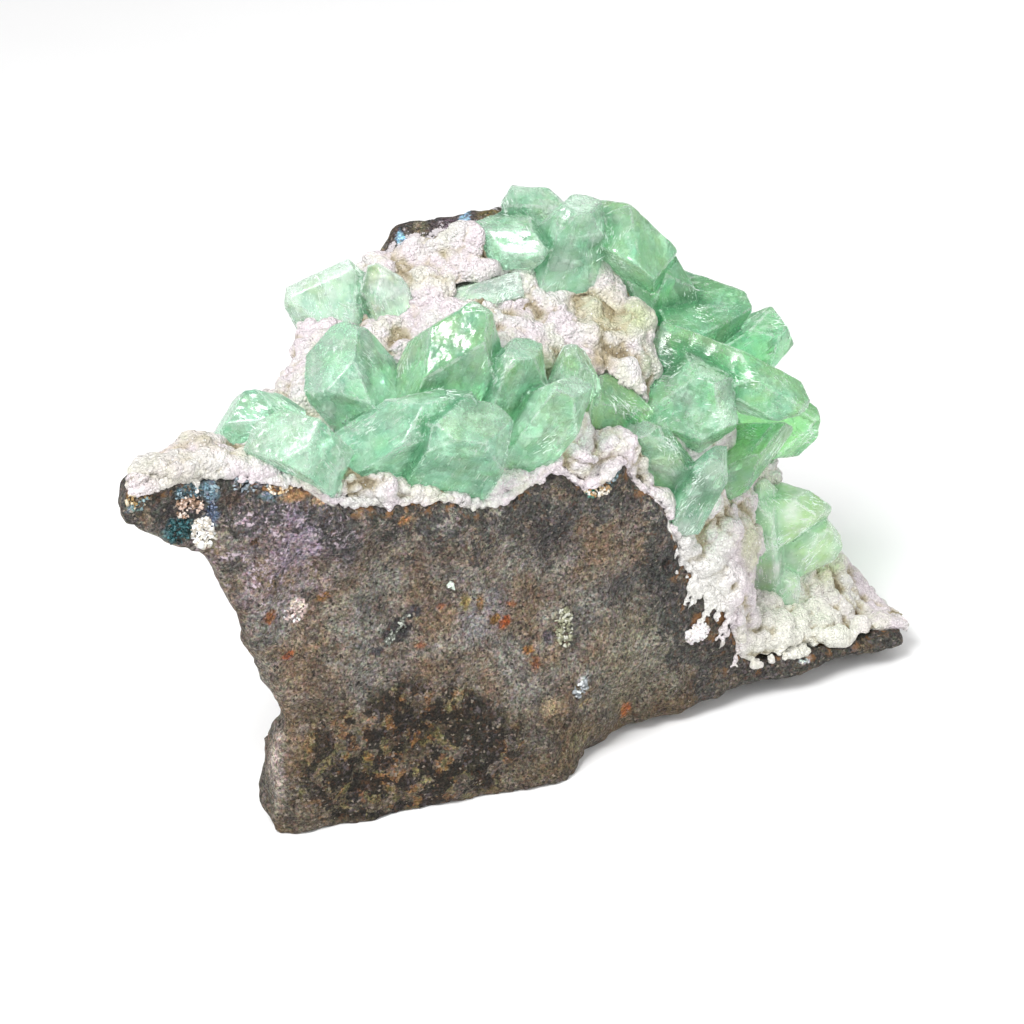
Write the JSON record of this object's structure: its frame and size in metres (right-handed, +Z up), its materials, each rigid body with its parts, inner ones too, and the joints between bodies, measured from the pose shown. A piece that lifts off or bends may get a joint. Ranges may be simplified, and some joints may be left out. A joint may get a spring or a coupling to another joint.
{
  "type": "apophyllite on mordenite mineral specimen",
  "caption": "Loose specimen of basalt matrix with a white mordenite crust that carries clusters of green apophyllite crystals; rests on its flat underside.",
  "frame": {"origin": "bottom centre of the specimen's bounding box, in the plane that it rests on", "axes": "+Z up, +X along the longest extent towards the low right foot, -Y towards the broken basalt front"},
  "size_m": [0.1282, 0.092, 0.0887],
  "materials": {
    "basalt": "rough broken",
    "mordenite": "matte fibrous",
    "apophyllite": "milky translucent, glossy to frosted faces"
  },
  "bodies": {
    "root": {"basalt_matrix": "basalt", "mordenite_crust_1": "mordenite", "mordenite_crust_2": "mordenite", "mordenite_crust_3": "mordenite", "apophyllite_centre": "apophyllite", "apophyllite_left": "apophyllite", "apophyllite_ledge": "apophyllite", "apophyllite_shoulder": "apophyllite", "apophyllite_crest": "apophyllite", "apophyllite_right_back": "apophyllite", "apophyllite_right_front": "apophyllite", "apophyllite_right_low": "apophyllite", "apophyllite_edge": "apophyllite", "apophyllite_faint": "apophyllite", "apophyllite_slab": "apophyllite", "apophyllite_foot": "apophyllite"}
  },
  "joints": []
}
